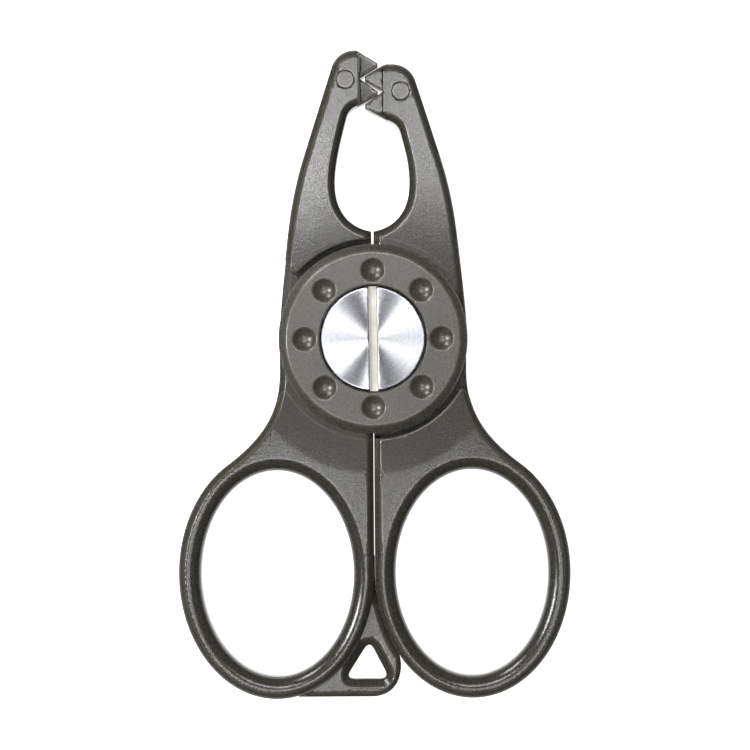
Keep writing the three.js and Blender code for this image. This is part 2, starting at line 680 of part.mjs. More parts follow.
for (const [name, body, material] of pieces) {
  const mesh = new THREE.Mesh(geometryOf(body), material);
  mesh.name = name;
  thread_snips.add(mesh);
}

export default thread_snips;
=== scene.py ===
import math

import bpy
import numpy as np
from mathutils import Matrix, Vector
from mathutils.geometry import delaunay_2d_cdt


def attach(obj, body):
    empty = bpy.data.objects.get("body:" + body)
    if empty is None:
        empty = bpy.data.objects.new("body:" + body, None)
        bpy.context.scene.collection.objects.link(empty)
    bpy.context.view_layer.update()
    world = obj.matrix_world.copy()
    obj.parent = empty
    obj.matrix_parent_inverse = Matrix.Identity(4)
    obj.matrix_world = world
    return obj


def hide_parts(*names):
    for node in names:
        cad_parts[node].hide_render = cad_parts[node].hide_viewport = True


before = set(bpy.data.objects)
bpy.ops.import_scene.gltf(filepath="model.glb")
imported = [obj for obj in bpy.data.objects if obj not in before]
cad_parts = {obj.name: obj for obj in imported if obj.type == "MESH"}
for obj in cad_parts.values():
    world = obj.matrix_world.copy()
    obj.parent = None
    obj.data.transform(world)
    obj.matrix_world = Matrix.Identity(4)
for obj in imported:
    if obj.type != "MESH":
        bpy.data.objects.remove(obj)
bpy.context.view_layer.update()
MM = 0.001

# ---------------------------------------------------------------- frame dimensions, mm
LEVER_THICK = 8.0
EDGE_BEVEL, EDGE_BEVEL_DEPTH = 1.2, 0.9
HUB_R = 17.5
HUB_SPLIT = 0.3
STEP_R = HUB_R + 0.95
JAW_STEP_ANGLE, HANDLE_STEP_ANGLE = 40.5, 209.0
CAP_THICK, CAP_SEAT = 1.85, 0.15
CAP_BEVEL, CAP_BEVEL_DEPTH = 1.5, 1.0
DIMPLE_COUNT, DIMPLE_R, DIMPLE_DEPTH, DIMPLE_INSET = 8, 2.2, 0.9, 0.25
JAW_REACH, JAW_STAGGER = 53.8, 2.65
JAW_GAP, JAW_LAND = 0.44, 1.5
JAW_WAIST, JAW_LEAN, JAW_TIP_R = (12.67, 34.0), 0.318, 4.4
LOOP_HALF_WIDTH, LOOP_WIDEST_Y = 6.95, 29.0
LOOP_CORNER_X, LOOP_CORNER_DROP = 4.75, 2.4
JAW_SHOULDER = (-1.87, 2.65)  # from the hub's radius, across and up
SEAM_X, SEAM_GAP = 2.6, 0.03  # the seam's visible width: a tongue fills the rest
TOOTH_TIP_X, TOOTH_TIP_HALF = 1.2, 0.38
TOOTH_DROPS, NOTCH_DROP, NOTCH_DEPTH_X = (2.7, 7.95), 5.15, 0.4
PLATE_DROP, PLATE_OVERLAP = 10.35, 1.0
PIN_R, PIN_FIT = 1.6, 0.015
REAR_PIN_INSET, REAR_PIN_DROP = 2.26, 5.5  # from the seam and from the jaw's tip
FRONT_PIN_INSET, FRONT_PIN_DROP = 2.85, 5.1
HANDLE_GAP = 0.16  # a little closer than the frame's rings
RING_RX, RING_RY, RING_DROP = 18.19, 23.34, 43.62
RING_BAND, RING_BAND_ENDS, RING_HOLE_SHIFT = 3.97, 4.1, 0.12
NECK_START_DROP, NECK_PULL_DROP, NECK_JOIN, NECK_JOIN_PULL = 5.0, 13.0, 60.0, 9.0
TAB_THICK, TAB_BEVEL, TAB_BEVEL_DEPTH = 3.2, 0.9, 0.6
TAB_CLEARANCE = (0.03, 0.12)  # beside the other ring and below it
TAB_TOP_RISE, TAB_BOTTOM_RISE, TAB_CORNER_RISE, TAB_CORNER_R = 26.5, 0.25, 8.0, 5.0
TAB_HOLE_TOP_RISE, TAB_HOLE_LOW_RISE, TAB_HOLE_SHIFT = 10.7, 3.5, 1.05
TAB_HOLE_WALLS, TAB_HOLE_ROUND = (3.05, 1.85), 1.9
HEAD_R, HEAD_THICK, HEAD_CHAMFER, HEAD_CLEARANCE = 9.7, 1.5, 0.22, 0.16
SLOT_WIDTH, SLOT_DEPTH = 1.65, 0.9
SOCKET_R, SOCKET_FLOOR = HEAD_R - 0.7, {"front": 8.31, "rear": 9.5}
WASHER_RECESS_R, RECESS_RISE = 13.2, 0.35
BUSH_BORE_R = 6.4
NUT_BORE_R, NUT_BORE_FLAT = 5.55, 4.85
SHANK_R, SHANK_LOW, SHANK_CHAMFER = 2.4, 3.6, 0.3

CAP_PROUD = CAP_THICK + CAP_SEAT
MID_Z = CAP_PROUD + LEVER_THICK / 2
TOP_Z = 2 * MID_Z
HALF = LEVER_THICK / 2
RING_X = HANDLE_GAP / 2 + RING_RX
CAP_BORE_R = HEAD_R + HEAD_CLEARANCE
DIMPLE_CIRCLE_R = (CAP_BORE_R + HUB_R - CAP_BEVEL) / 2 - DIMPLE_INSET
RING_LOW_Y = -RING_DROP - RING_RY
SEAM_CUT = SEAM_X + SEAM_GAP / 2

# looks only: soft edges that the frame leaves sharp
CREASE = 0.11  # half the width over which a bevel turns into the face
ARRIS = 0.10  # rounding of the outer edge of a bevel
STEP_BEVEL, STEP_BEVEL_DEPTH = 0.34, 0.3
STEP_IN_ROUND, STEP_OUT_ROUND = 1.0, 1.3
BULLNOSE, BULLNOSE_DEPTH = 2.45, 2.0
TAB_HOLE_BEVEL, TAB_HOLE_BEVEL_DEPTH = 1.5, 0.8
JAW_DROP, JAW_CURVE_FROM, JAW_CURVE_TO = 1.25, 16.0, 31.0
FACE_R = 25.0
HANDLE_SLOPE, HANDLE_SLOPE_TO, RING_SLOPE = 0.035, 48.0, 0.0160
TONGUE_HALF, TONGUE_REACH = 0.8, 0.4  # the tooth plate's tongue into its lever
PLATE_LEAN = 0.03  # slope of the left tooth plate's sunk face
SPACING = 0.5  # along outlines

# ---------------------------------------------------------------- plan curves
def xy(*pairs):
    return np.array(pairs, float)


def steps_for(length, spacing=SPACING):
    return max(1, int(math.ceil(length / spacing)))


def bezier(*corners):
    """A quadratic or cubic curve through its control corners, at even parameters."""
    p = [xy(corner) for corner in corners]
    n = steps_for(sum(np.linalg.norm(b - a) for a, b in zip(p[:-1], p[1:])))
    t = np.linspace(0, 1, n + 1)[:, None]
    while len(p) > 1:
        p = [a * (1 - t) + b * t for a, b in zip(p[:-1], p[1:])]
    return p[0]


def straight(a, b, spacing=1.0):
    n = steps_for(math.dist(a, b), spacing)
    t = np.linspace(0, 1, n + 1)[:, None]
    return xy(a) * (1 - t) + xy(b) * t


def arc(centre, rx, ry, start, end, spacing=SPACING):
    """An ellipse arc, angles in degrees."""
    n = steps_for(math.radians(abs(end - start)) * (rx + ry) / 2, spacing)
    a = np.radians(np.linspace(start, end, n + 1))
    return np.stack([centre[0] + rx * np.cos(a), centre[1] + ry * np.sin(a)], 1)


def circle(centre, r, spacing=SPACING):
    return arc(centre, r, r, 0, 360, spacing)[:-1]


def joined(*runs):
    """Runs of points end to end as one closed loop, without doubled points."""
    points = np.concatenate(runs)
    keep = np.linalg.norm(points - np.roll(points, 1, axis=0), axis=1) > 0.02
    return points[keep]


def area(loop):
    x, y = loop[:, 0], loop[:, 1]
    return 0.5 * np.sum(x * np.roll(y, -1) - np.roll(x, -1) * y)


def distance(points, *loops, closed=True):
    """How far each point is from the nearest segment of the loops."""
    starts, ends = [], []
    for loop in loops:
        starts.append(loop if closed else loop[:-1])
        ends.append(np.roll(loop, -1, axis=0) if closed else loop[1:])
    a, b = np.concatenate(starts), np.concatenate(ends)
    ab = b - a
    length2 = np.maximum((ab ** 2).sum(1), 1e-12)
    out = np.empty(len(points))
    for i in range(0, len(points), 2000):
        p = points[i:i + 2000, None, :]
        t = np.clip(((p - a) * ab).sum(2) / length2, 0, 1)
        out[i:i + 2000] = np.sqrt((((a + ab * t[..., None]) - p) ** 2).sum(2).min(1))
    return out


def inside(points, loop):
    """Which points are inside a closed loop."""
    x, y = points[:, 0], points[:, 1]
    result = np.zeros(len(points), bool)
    for (x0, y0), (x1, y1) in zip(loop, np.roll(loop, -1, axis=0)):
        if y0 == y1:
            continue
        crosses = (y0 > y) != (y1 > y)
        result ^= crosses & (x < (x1 - x0) * (y - y0) / (y1 - y0) + x0)
    return result


def offset_rows(loop, distances, side=1):
    """Points at each distance inside (side 1) or outside (-1) a loop, in step with its own
    points, so that the triangles between rows are regular."""
    way = math.copysign(1, area(loop)) * side
    before = loop - np.roll(loop, 1, axis=0)
    after = np.roll(loop, -1, axis=0) - loop
    normals = []
    for edge in (before, after):
        unit = edge / np.linalg.norm(edge, axis=1)[:, None]
        normals.append(np.stack([-unit[:, 1], unit[:, 0]], 1) * way)
    n0, n1 = normals
    turn = (n0 * n1).sum(1)
    mitre = (n0 + n1) / np.maximum(1 + turn, 0.15)[:, None]
    rows = []
    for d in distances:
        row = loop + mitre * d
        sharp = turn < 0.9
        extra = [loop[sharp] + n * d for n in (n0[sharp], n1[sharp])]
        middle = n0[sharp] + n1[sharp]
        middle /= np.maximum(np.linalg.norm(middle, axis=1), 1e-6)[:, None]
        extra.append(loop[sharp] + middle * d)
        row = np.concatenate([row] + extra)
        rows.append(row[distance(row, loop) > d * 0.985 - 0.004])
    return np.concatenate(rows)


# ---------------------------------------------------------------- relief solids
def thinned(points, fixed, gap=0.035):
    """Free points with those too near another point left out."""
    taken = set()
    cell = gap
    for p in fixed:
        taken.add((int(round(p[0] / cell)), int(round(p[1] / cell))))
    kept = []
    for p in points:
        i, j = int(round(p[0] / cell)), int(round(p[1] / cell))
        if any((i + di, j + dj) in taken for di in (-1, 0, 1) for dj in (-1, 0, 1)):
            continue
        taken.add((i, j))
        kept.append(p)
    return kept


def relief(name, loops, free, label_of, height_of, flip=False, origin=(0, 0), second=None):
    """A closed mesh between an upper and a lower height over a plan cut into cells.

    loops: closed lines that the plan is cut along. free: further points.
    label_of(points) gives each triangle its cell, or -1 for none.
    height_of(label, points) gives (upper, lower, painted highlight): heights in mm and the strength of
    the painted crease highlight. flip turns it over about Y.
    second is the cell whose upper faces take the object's second material."""
    coords, edges = [], []
    for loop in loops:
        first = len(coords)
        coords += [Vector(p) for p in loop]
        count = len(loop)
        edges += [(first + i, first + (i + 1) % count) for i in range(count)]
    coords += [Vector(p) for p in thinned(np.concatenate(free), np.concatenate(loops))]
    plan = delaunay_2d_cdt(coords, edges, [], 0, 1e-3, False)
    points = np.array([v[:] for v in plan[0]], float)
    triangles = np.array(plan[2])
    corners = points[triangles]
    label = label_of(corners.mean(1))
    ab, ac = corners[:, 1] - corners[:, 0], corners[:, 2] - corners[:, 0]
    backward = ab[:, 0] * ac[:, 1] - ab[:, 1] * ac[:, 0] < 0
    triangles[backward] = triangles[backward][:, ::-1]
    triangles, label = triangles[label >= 0], label[label >= 0]

    z = {}
    for value in np.unique(label):
        ids = np.unique(triangles[label == value])
        upper, lower, painted_highlight = height_of(value, points[ids])
        for k, vertex in enumerate(ids):
            z[value, vertex] = (round(float(upper[k]), 4), round(float(lower[k]), 4), painted_highlight[k])

    vertices, index, highlight_level, levels = [], {}, [], {}

    def corner(vertex, height, painted_highlight=0.0):
        key = (vertex, height)
        if key not in index:
            index[key] = len(vertices)
            vertices.append((points[vertex][0], points[vertex][1], height))
            highlight_level.append(painted_highlight)
            levels.setdefault(vertex, set()).add(height)
        return index[key]

    faces, beside, painted = [], {}, []
    for tri, value in zip(triangles, label):
        a, b, c = (int(v) for v in tri)
        tops = [z[value, v] for v in (a, b, c)]
        if value == second:
            painted.append(len(faces))
        faces.append([corner(v, t[0], t[2]) for v, t in zip((a, b, c), tops)])
        faces.append([corner(v, t[1], t[2]) for v, t in zip((c, b, a), tops[::-1])])
        for edge in ((a, b), (b, c), (c, a)):
            beside[edge] = value

    def wall(a, b, lows, highs):
        side = []
        ends = ((b, lows[1], highs[1], True), (a, lows[0], highs[0], False))
        for vertex, low, high, rising in ends:
            run = sorted(h for h in levels[vertex] if low <= h <= high)
            side += [corner(vertex, h) for h in (run if rising else run[::-1])]
        if len(set(side)) > 2:
            faces.append(side)

    for (a, b), value in list(beside.items()):
        mine = (z[value, a], z[value, b])
        other = beside.get((b, a))
        if other is None:
            wall(a, b, (mine[0][1], mine[1][1]), (mine[0][0], mine[1][0]))
        elif other != value:
            theirs = (z[other, a], z[other, b])
            if mine[0][0] >= theirs[0][0] and mine[1][0] >= theirs[1][0]:
                wall(a, b, (theirs[0][0], theirs[1][0]), (mine[0][0], mine[1][0]))
            if mine[0][1] <= theirs[0][1] and mine[1][1] <= theirs[1][1]:
                wall(a, b, (mine[0][1], mine[1][1]), (theirs[0][1], theirs[1][1]))

    co = np.array(vertices)
    co[:, :2] += origin
    if flip:
        co[:, 0] *= -1
        co[:, 2] = TOP_Z - co[:, 2]
    return mesh_object(name, co * MM, faces, highlight_level, painted)


def mesh_object(name, co, faces, highlight_level=None, painted=(), smooth_angle=32):
    mesh = bpy.data.meshes.new(name)
    mesh.from_pydata([tuple(c) for c in co], [], faces)
    for index in painted:
        mesh.polygons[index].material_index = 1
    mesh.validate()
    mesh.update()
    # The painted crease highlight, kept per vertex for the plastic's colour.
    if highlight_level is not None:
        layer = mesh.attributes.new("painted_highlight", "FLOAT", "POINT")
        layer.data.foreach_set("value", np.array(highlight_level, np.float32))
    mesh.shade_smooth()
    mesh.set_sharp_from_angle(angle=math.radians(smooth_angle))
    obj = bpy.data.objects.new(name, mesh)
    bpy.context.scene.collection.objects.link(obj)
    weighted = obj.modifiers.new("face_weight", "WEIGHTED_NORMAL")
    weighted.keep_sharp = True
    weighted.weight = 100
    return obj


# ---------------------------------------------------------------- section profiles
def bevel_drop(d, width, depth, crease=CREASE):
    """How far the face is cut away at a distance d from the edge: a plain bevel, turned
    softly into the face, with a slightly rounded outer arris."""
    slope = depth / width
    line = slope * (width - d)
    soft = slope * (width + crease - d) ** 2 / (4 * crease)
    drop = np.where(d > width + crease, 0, np.where(d < width - crease, line, soft))
    return drop + 0.6 * ARRIS * np.clip(1 - d / ARRIS, 0, 1) ** 2


def bullnose_drop(d, width=BULLNOSE, depth=BULLNOSE_DEPTH):
    t = np.clip((width - d) / width, 0, 1)
    return depth * (1 - np.sqrt(1 - 0.995 * t ** 2))


# Painted highlight: how strongly the colour is lightened along a bevel's crease line, standing in for
# the glint there.
def crease_highlight(d, width):
    return np.exp(-((d - width) / 0.16) ** 2)


def half_thickness(points):
    """Half the lever's thickness: level round the hub, curving down along the jaws and
    sloping down beyond the face circle on the handles."""
    r = np.hypot(points[:, 0], points[:, 1])
    curve = JAW_CURVE_TO - JAW_CURVE_FROM
    t = np.clip(r - JAW_CURVE_FROM, 0, None)
    drop = np.where(t < curve, t ** 2 / 2, curve ** 2 / 2 + curve * (t - curve))
    end = JAW_REACH - JAW_CURVE_FROM
    jaw = JAW_DROP * drop / (curve ** 2 / 2 + curve * (end - curve))
    s = r - FACE_R
    soft = 0.2
    ramp = np.where(s > soft, s, np.where(s < -soft, 0, (s + soft) ** 2 / (4 * soft)))
    far = np.clip(r - HANDLE_SLOPE_TO, 0, None)
    handle = HANDLE_SLOPE * (ramp - far) + RING_SLOPE * far
    return HALF - np.where(points[:, 1] > 0, jaw, handle)


# ---------------------------------------------------------------- lever plans, jaw at +X
def jaw_loop(tip_y):
    low_y = tip_y - PLATE_DROP
    root_y = STEP_R + JAW_LAND
    short = (JAW_REACH - tip_y) * 0.26
    corner = (LOOP_CORNER_X + short, low_y - LOOP_CORNER_DROP - short / 2)
    waist_x, waist_y = JAW_WAIST
    centre_y = tip_y - JAW_TIP_R
    centre_x = waist_x - JAW_LEAN * (centre_y - waist_y) - JAW_TIP_R * math.hypot(1, JAW_LEAN)
    inside_x = SEAM_X - 2
    shoulder = (HUB_R + JAW_SHOULDER[0], HUB_R + JAW_SHOULDER[1])
    gap = JAW_GAP / 2
    lean = math.degrees(math.atan2(JAW_LEAN, 1))
    tip_arc = arc((centre_x, centre_y), JAW_TIP_R, JAW_TIP_R, 90, lean)
    return joined(
        straight((gap, -HUB_R / 4), (gap, root_y)),
        bezier((gap, root_y), (gap + 3.4, root_y + 0.6),
               (LOOP_HALF_WIDTH, LOOP_WIDEST_Y - 6), (LOOP_HALF_WIDTH, LOOP_WIDEST_Y)),
        bezier((LOOP_HALF_WIDTH, LOOP_WIDEST_Y), (LOOP_HALF_WIDTH, LOOP_WIDEST_Y + 4),
               (corner[0] + 0.7, corner[1] - 2.8), corner),
        bezier(corner, (corner[0] - 0.4, low_y - 0.6), (SEAM_X, low_y)),
        straight((SEAM_X, low_y), (inside_x, low_y)),
        straight((inside_x, low_y), (inside_x, tip_y)),
        straight((inside_x, tip_y), (centre_x, tip_y), SPACING),
        tip_arc,
        straight(tip_arc[-1], JAW_WAIST),
        bezier(JAW_WAIST, (waist_x + JAW_LEAN * 4.6, waist_y - 4.6),
               (shoulder[0] - 0.54, shoulder[1] + 4.5), shoulder),
        bezier(shoulder, (HUB_R, 4.5), (HUB_R, 0)),
        straight((HUB_R, 0), (HUB_R - 2, -HUB_R / 4)),
        straight((HUB_R - 2, -HUB_R / 4), (gap, -HUB_R / 4)),
    )


def handle_loop():
    join = math.radians(NECK_JOIN)
    join_x = RING_X + RING_RX * math.cos(join)
    join_y = -RING_DROP + RING_RY * math.sin(join)
    along = Vector((RING_RX * math.sin(join), -RING_RY * math.cos(join))).normalized()
    pull = (join_x - along.x * NECK_JOIN_PULL, join_y - along.y * NECK_JOIN_PULL)
    edge = HUB_R - 0.1
    ring = arc((RING_X, -RING_DROP), RING_RX, RING_RY, NECK_JOIN, -180)
    loop = joined(
        straight((HANDLE_GAP / 2, 0), (edge, 0)),
        straight((edge, 0), (edge, -NECK_START_DROP)),
        bezier((edge, -NECK_START_DROP), (HUB_R - 0.35, -NECK_PULL_DROP), pull, (join_x, join_y)),
        ring,
        straight(ring[-1], (HANDLE_GAP / 2, 0)),
    )
    return loop * (-1, 1)


def tab_loops():
    clear = (RING_RX + TAB_CLEARANCE[0], RING_RY + TAB_CLEARANCE[1])
    band = (RING_RX - RING_BAND / 2, RING_RY - RING_BAND / 2)
    bottom_y = RING_LOW_Y + TAB_BOTTOM_RISE
    corner_y = RING_LOW_Y + TAB_CORNER_RISE
    top_y = RING_LOW_Y + TAB_TOP_RISE

    def angle_at(y, ry):
        return math.asin((y + RING_DROP) / ry)

    def ring_edge(y):
        return RING_X - RING_RX * math.cos(angle_at(y, RING_RY))

    corner_x = RING_X - clear[0] * math.cos(angle_at(corner_y, clear[1]))
    low_other = 180 - math.degrees(angle_at(corner_y, clear[1]))
    own = arc((-RING_X, -RING_DROP), *band, -0.43 * 180, math.degrees(angle_at(top_y, band[1])))
    other = joined(straight((RING_X - clear[0], top_y), (RING_X - clear[0], -RING_DROP)),
                   arc((RING_X, -RING_DROP), *clear, 180, low_other))
    outer = joined(
        other,
        bezier((corner_x, corner_y), (corner_x + 0.9, corner_y - 2.3),
               (corner_x + 0.2, bottom_y), (corner_x - TAB_CORNER_R, bottom_y)),
        straight((corner_x - TAB_CORNER_R, bottom_y), (-RING_X + 4, bottom_y)),
        straight((-RING_X + 4, bottom_y), own[0]),
        own,
        straight(own[-1], other[0]),
    )
    low_y = RING_LOW_Y + TAB_HOLE_LOW_RISE
    hole = rounded([
        (-TAB_HOLE_SHIFT, RING_LOW_Y + TAB_HOLE_TOP_RISE),
        (-ring_edge(low_y) + TAB_HOLE_WALLS[0], low_y),
        (corner_x - TAB_HOLE_WALLS[1], low_y),
    ], TAB_HOLE_ROUND)
    return outer, hole


def rounded(corners, radius):
    runs = []
    count = len(corners)
    ends = []
    for i, c in enumerate(corners):
        c = Vector(c)
        before, after = Vector(corners[i - 1]), Vector(corners[(i + 1) % count])
        enter = c + (before - c).normalized() * radius
        leave = c + (after - c).normalized() * radius
        ends.append((enter, c, leave))
    for i, (enter, c, leave) in enumerate(ends):
        runs.append(bezier(tuple(enter), tuple(c), tuple(leave)))
        runs.append(straight(tuple(leave), tuple(ends[(i + 1) % count][0]), SPACING))
    return joined(*runs)


def outward(angle, r):
    return (r * math.cos(math.radians(angle)), r * math.sin(math.radians(angle)))


def first_exit(angle, loop, start_r):
    """Where a ray from the pivot leaves a loop, beyond start_r, and the loop's way there."""
    best = None
    direction = xy(outward(angle, 1.0))[0]
    for i, (p, q) in enumerate(zip(loop, np.roll(loop, -1, axis=0))):
        e = q - p
        det = direction[0] * -e[1] + e[0] * direction[1]
        if abs(det) < 1e-9:
            continue
        t = (p[0] * -e[1] + e[0] * p[1]) / det
        s = (direction[0] * p[1] - direction[1] * p[0]) / det
        if t > start_r and 0 <= s <= 1 and (best is None or t > best[0]):
            best = (t, i)
    return best


def step_corner(angle, loop):
    """The step's line from the arc out past the lever's edge, with both corners rounded. The
    lever's own material lies at greater angles."""
    r_out, i = first_exit(angle, loop, STEP_R)
    turn = math.degrees(STEP_IN_ROUND / STEP_R)
    inner = bezier(outward(angle + turn, STEP_R), outward(angle, STEP_R),
                   outward(angle, STEP_R + STEP_IN_ROUND))
    p, q = loop[i], loop[(i + 1) % len(loop)]
    edge = (q - p) / np.linalg.norm(q - p)
    tangent = xy(outward(angle + 90, 1.0))[0]
    if edge @ tangent < 0:
        edge = -edge
    crossing = xy(outward(angle, r_out))[0]
    outer = bezier(outward(angle, r_out - STEP_OUT_ROUND), tuple(crossing),
                   tuple(crossing + edge * STEP_OUT_ROUND))
    normal = xy(outward(angle, 1.0))[0]
    away = crossing + edge * (STEP_OUT_ROUND + 0.4) + normal * 0.5
    run = [inner, straight(inner[-1], outer[0], SPACING), outer, away[None, :]]
    return np.concatenate(run)


def step_loop(jaw, handle):
    """The plan region where only the lever's own half is left, for the other lever's hub."""
    far = 2 * HUB_R
    at_jaw = step_corner(JAW_STEP_ANGLE, jaw)
    at_handle = step_corner(HANDLE_STEP_ANGLE, handle)
    jaw_turn = math.degrees(STEP_IN_ROUND / STEP_R)
    return joined(
        xy(outward(JAW_STEP_ANGLE - 2, far)),
        at_jaw[::-1],
        arc((0, 0), STEP_R, STEP_R, JAW_STEP_ANGLE + jaw_turn, 170),
        xy(outward(170, far), outward(HANDLE_STEP_ANGLE - 2, far)),
        at_handle[::-1],
        arc((0, 0), STEP_R, STEP_R, HANDLE_STEP_ANGLE + jaw_turn, 350),
        xy(outward(350, far)),
    )


def own_rows(loop, other, distances):
    """Offset rows, without the points that lie nearer to another loop than to their own."""
    rows = offset_rows(loop, distances)
    return rows[distance(rows, other) > distance(rows, loop) - 0.005]


def grid(low, high, spacing):
    rows = []
    y = low[1]
    shift = 0
    while y <= high[1]:
        x = np.arange(low[0] + shift, high[0], spacing)
        rows.append(np.stack([x, np.full(len(x), y)], 1))
        y += spacing * 0.866
        shift = spacing / 2 - shift
    return np.concatenate(rows)


ARM, CUT_ARM, HUB, RECESS, SOCKET, TAB = range(6)
# rows of points at these distances from an edge carry its profile
BEVEL_ROWS = (ARRIS, 0.6, EDGE_BEVEL - CREASE, EDGE_BEVEL, EDGE_BEVEL + CREASE, EDGE_BEVEL + 0.35)
BULL_ROWS = (0.06, 0.16, 0.3, 0.48, 0.7, 0.94, 1.2, 1.45, 1.7, 1.95, 2.2, BULLNOSE, BULLNOSE + 0.25)
STEP_ROWS = (ARRIS, STEP_BEVEL - CREASE, STEP_BEVEL, STEP_BEVEL + CREASE, STEP_BEVEL + 0.3)
TAB_ROWS = (0.06, TAB_BEVEL - CREASE, TAB_BEVEL, TAB_BEVEL + CREASE, TAB_BEVEL + 0.3)
TAB_HOLE_ROWS = (0.06, 0.5, 1.0, TAB_HOLE_BEVEL - CREASE, TAB_HOLE_BEVEL, TAB_HOLE_BEVEL + CREASE)
PIN_ROWS = (0.07, 0.17, 0.45, 0.9)
CAP_ROWS = (0.05, 0.1, 0.5, 1.0, CAP_BEVEL - CREASE, CAP_BEVEL, CAP_BEVEL + CREASE, CAP_BEVEL + 0.3)


def lever(name, own, tip_y, pin, tab):
    """One moulded lever, drawn as the front one: jaw at +X, its half hub above the middle."""
    jaw = jaw_loop(tip_y)
    handle = handle_loop()
    hole_centre = (RING_HOLE_SHIFT - RING_X, -RING_DROP)
    ring_hole = arc(hole_centre, RING_RX - RING_BAND, RING_RY - RING_BAND_ENDS, 0, 360, 0.28)[:-1]
    step = step_loop(jaw, handle)
    low_y = tip_y - PLATE_DROP
    hub = circle((0, 0), HUB_R, 0.6)
    recess = circle((0, 0), WASHER_RECESS_R, 1.0)
    socket = circle((0, 0), SOCKET_R, 1.0)
    bore = circle((0, 0), BUSH_BORE_R if own == "front" else NUT_BORE_R, 1.0)
    if own == "rear":
        bore[:, 0] = np.clip(bore[:, 0], -NUT_BORE_FLAT, NUT_BORE_FLAT)
    pin_hole = circle(pin, PIN_R + PIN_FIT, 0.3)
    seam = joined(
        straight((SEAM_CUT, low_y - 0.6), (SEAM_CUT, tip_y + 0.6), SPACING),
        xy((-3, tip_y + 0.6), (-3, low_y - 0.6)),
    )
    loops = [jaw, handle, ring_hole, step, hub, recess, socket, bore, pin_hole, seam]
    free = [
        own_rows(jaw, handle, BEVEL_ROWS),
        own_rows(handle, jaw, BEVEL_ROWS),
        offset_rows(ring_hole, BULL_ROWS, -1),
        offset_rows(step, STEP_ROWS, -1),
        offset_rows(pin_hole, PIN_ROWS, -1),
    ]
    level = grid((-37, -67), (20, tip_y), 1.5)
    clear = ((jaw, EDGE_BEVEL + 0.6), (handle, EDGE_BEVEL + 0.6), (ring_hole, BULLNOSE + 0.5),
             (step, STEP_BEVEL + 0.5), (pin_hole, 1.2))
    for loop, reach in clear:
        level = level[distance(level, loop) > reach]
    free.append(level[np.abs(np.hypot(level[:, 0], level[:, 1]) - FACE_R) > 1.2])
    for r in (FACE_R - 0.8, FACE_R - 0.2, FACE_R, FACE_R + 0.2, FACE_R + 0.9):
        free.append(arc((0, 0), r, r, 180, 280, 0.7))
    tab_outer = tab_hole = None
    if tab:
        tab_outer, tab_hole = tab_loops()
        loops += [tab_outer, tab_hole]
        free.append(offset_rows(tab_outer, TAB_ROWS))
        free.append(offset_rows(tab_hole, TAB_HOLE_ROWS, -1))

    def label_of(p):
        r = np.hypot(p[:, 0], p[:, 1])
        in_jaw = inside(p, jaw) & ~inside(p, seam)
        in_handle = inside(p, handle)
        hole = inside(p, ring_hole) | inside(p, pin_hole)
        label = np.full(len(p), -1)
        if tab:
            label[inside(p, tab_outer) & ~inside(p, tab_hole)] = TAB
        arm = in_jaw | in_handle
        label[arm] = ARM
        label[arm & inside(p, step)] = CUT_ARM
        label[inside(p, hub)] = HUB
        label[inside(p, recess)] = RECESS
        label[inside(p, socket)] = SOCKET
        label[hole | inside(p, bore)] = -1
        return label

    def height_of(label, p):
        none = np.zeros(len(p))
        plate_low = MID_Z + HUB_SPLIT / 2
        recess_low = MID_Z + RECESS_RISE
        if label == TAB:
            d = distance(p, tab_outer)
            d_hole = distance(p, tab_hole)
            drop = np.maximum(bevel_drop(d, TAB_BEVEL, TAB_BEVEL_DEPTH),
                              bevel_drop(d_hole, TAB_HOLE_BEVEL, TAB_HOLE_BEVEL_DEPTH))
            half = TAB_THICK / 2 - drop
            painted_highlight = np.maximum(crease_highlight(d, TAB_BEVEL), crease_highlight(d_hole, TAB_HOLE_BEVEL))
            return MID_Z + half, MID_Z - half, painted_highlight
        if label in (ARM, CUT_ARM):
            d = distance(p, jaw, handle)
            d_ring = distance(p, ring_hole)
            drop = np.maximum(bevel_drop(d, EDGE_BEVEL, EDGE_BEVEL_DEPTH), bullnose_drop(d_ring))
            half = half_thickness(p)
            painted_highlight = crease_highlight(d, EDGE_BEVEL)
            upper = MID_Z + half - drop
            if label == CUT_ARM:
                return upper, none + plate_low, painted_highlight
            d_step = distance(p, step)
            d_pin = distance(p, pin_hole)
            drop_pin = bevel_drop(d_pin, 0.1, 0.03, 0.04)
            near_drop = np.maximum(drop, drop_pin)
            far_drop = np.maximum(near_drop, bevel_drop(d_step, STEP_BEVEL, STEP_BEVEL_DEPTH))
            painted_highlight = np.maximum(painted_highlight, crease_highlight(d_step, STEP_BEVEL))
            upper = MID_Z + half - near_drop
            return upper, MID_Z - half + far_drop, painted_highlight
        top = SOCKET_FLOOR[own] if label == SOCKET else MID_Z + HALF
        return none + top, none + (plate_low if label == HUB else recess_low), none

    return relief(name, loops, free, label_of, height_of, flip=own == "rear")


